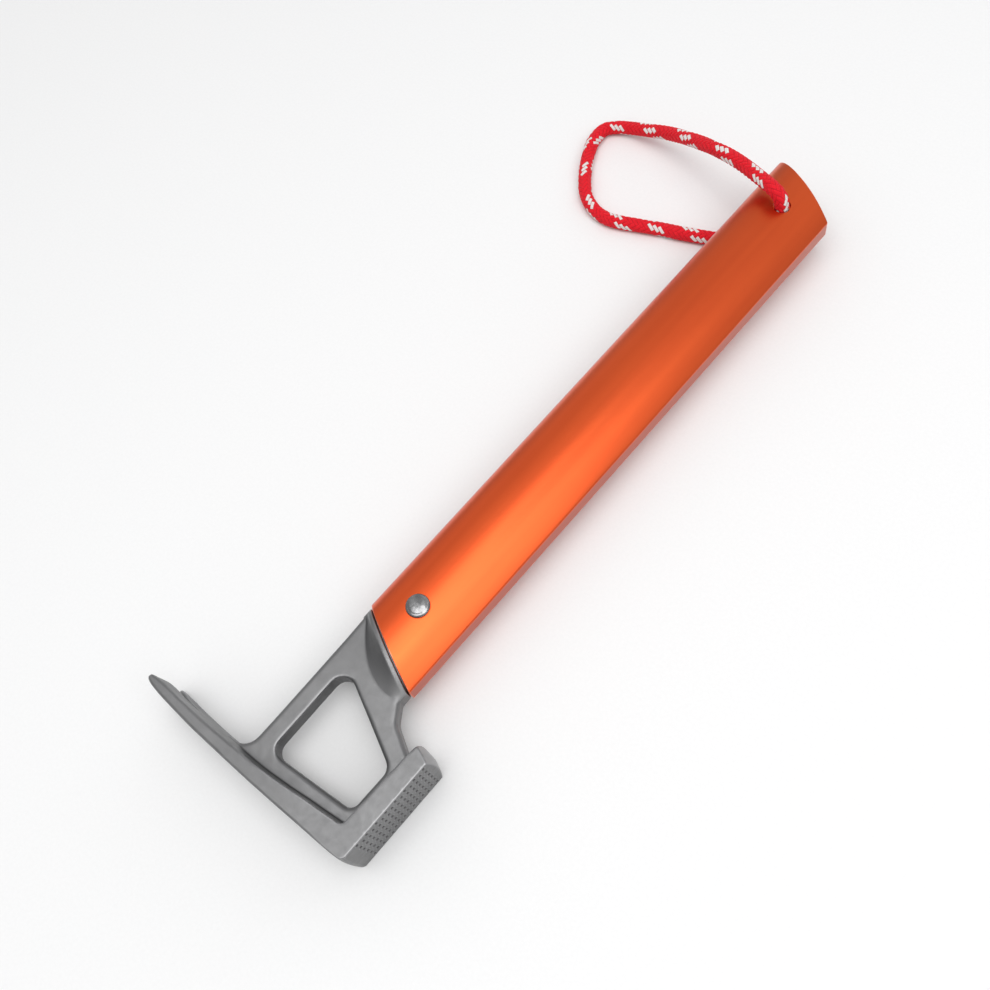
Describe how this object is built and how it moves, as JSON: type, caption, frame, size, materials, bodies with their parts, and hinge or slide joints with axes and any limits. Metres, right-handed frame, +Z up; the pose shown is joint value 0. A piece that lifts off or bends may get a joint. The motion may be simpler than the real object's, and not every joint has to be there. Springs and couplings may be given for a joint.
{
  "type": "stake hammer",
  "caption": "Camping hammer for tent stakes: dimpled striking block, forked puller claw, windowed neck, riveted flat tube handle and a cord wrist loop.",
  "frame": {"origin": "centre of the bottom face of the box around the head, handle and rivet, on the surface that the hammer lies on", "axes": "+Y towards the butt of the handle, +X towards the striking face, +Z up, out of the hammer's side"},
  "size_m": [0.128, 0.2844, 0.0313],
  "materials": {
    "cast_steel": "satin bead-blasted cast stainless steel, brighter on worn edges",
    "orange_anodised": "orange anodised extruded aluminium, satin, fine lines along its length",
    "rivet_steel": "polished turned stainless steel",
    "red_cord": "braided cord, red with white tracer flecks, matte sheen"
  },
  "bodies": {
    "hammer": {"head": "cast_steel", "handle_tube": "orange_anodised", "rivet": "rivet_steel"},
    "lanyard": {"lanyard_cord": "red_cord", "lanyard_knot": "red_cord"}
  },
  "joints": [
    {"name": "lanyard_swing", "type": "hinge", "parent": "hammer", "child": "lanyard", "pos_m": [0.00728, 0.12243, 0.01445], "axis": [0, -0.0104, 0.9999], "range_deg": [-180, 0]}
  ]
}
